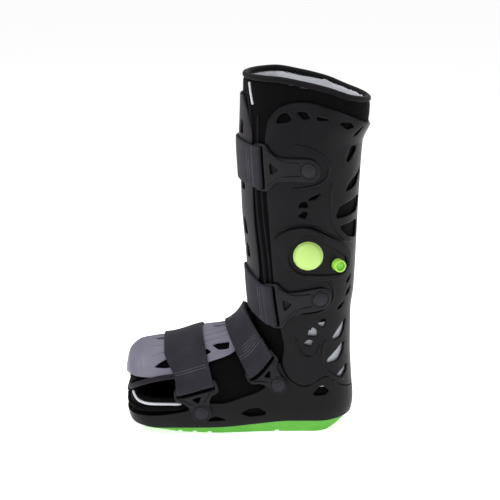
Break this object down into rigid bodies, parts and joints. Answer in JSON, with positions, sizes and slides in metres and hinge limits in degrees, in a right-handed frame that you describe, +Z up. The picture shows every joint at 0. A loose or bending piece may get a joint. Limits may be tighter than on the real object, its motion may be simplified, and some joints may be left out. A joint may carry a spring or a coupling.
{
  "type": "medical walking boot",
  "caption": "Tall walker boot with rigid shells, padded air liner, four straps, toe and shin plates, a bulb pump and a rocker sole.",
  "frame": {"origin": "on the floor, under the flat of the sole, in the middle of the foot's width, a third of the way from heel to toe", "axes": "+Z up the leg, +X to the heel, -Y to the outer side, which carries the pump"},
  "size_m": [0.2982, 0.133, 0.445],
  "materials": {
    "shell": "charcoal, fine grain, soft sheen",
    "plate": "mid grey, fine grain",
    "fabric": "black laminated cloth over foam",
    "webbing": "dark grey hook and loop strap",
    "pad": "light grey soft pad",
    "rubber": "green rubber",
    "lime": "pale green soft rubber",
    "lime_bright": "bright green plastic",
    "button": "green plastic"
  },
  "bodies": {
    "boot": {"outsole": "rubber", "lower_shell": "shell", "upper_shell": "shell", "shin_plate": "plate", "toe_plate": "plate", "liner": "fabric", "heel_pad": "pad", "strap_shin_top": "webbing", "strap_shin_low": "webbing", "strap_ankle": "webbing", "strap_forefoot": "webbing", "bracket_shin_top_outer": "shell", "rivet_shin_top_outer": "shell", "bracket_shin_top_inner": "shell", "rivet_shin_top_inner": "shell", "bracket_shin_low_outer": "shell", "rivet_shin_low_outer": "shell", "bracket_shin_low_inner": "shell", "rivet_shin_low_inner": "shell", "bracket_ankle_outer": "shell", "rivet_ankle_outer": "shell", "bracket_ankle_inner": "shell", "rivet_ankle_inner": "shell", "bracket_forefoot_outer": "shell", "rivet_forefoot_outer": "shell", "bracket_forefoot_inner": "shell", "rivet_forefoot_inner": "shell", "pump_cover": "shell", "pump_bulb": "lime", "valve_tube": "lime_bright"},
    "valve_button": {"valve_button": "button"}
  },
  "joints": [
    {"name": "valve_press", "type": "slide", "parent": "boot", "child": "valve_button", "axis": [-0.342, 0.9397, 0], "range_m": [0, 0.002], "stiffness_N_per_m": 800, "springref_m": -0.001}
  ]
}
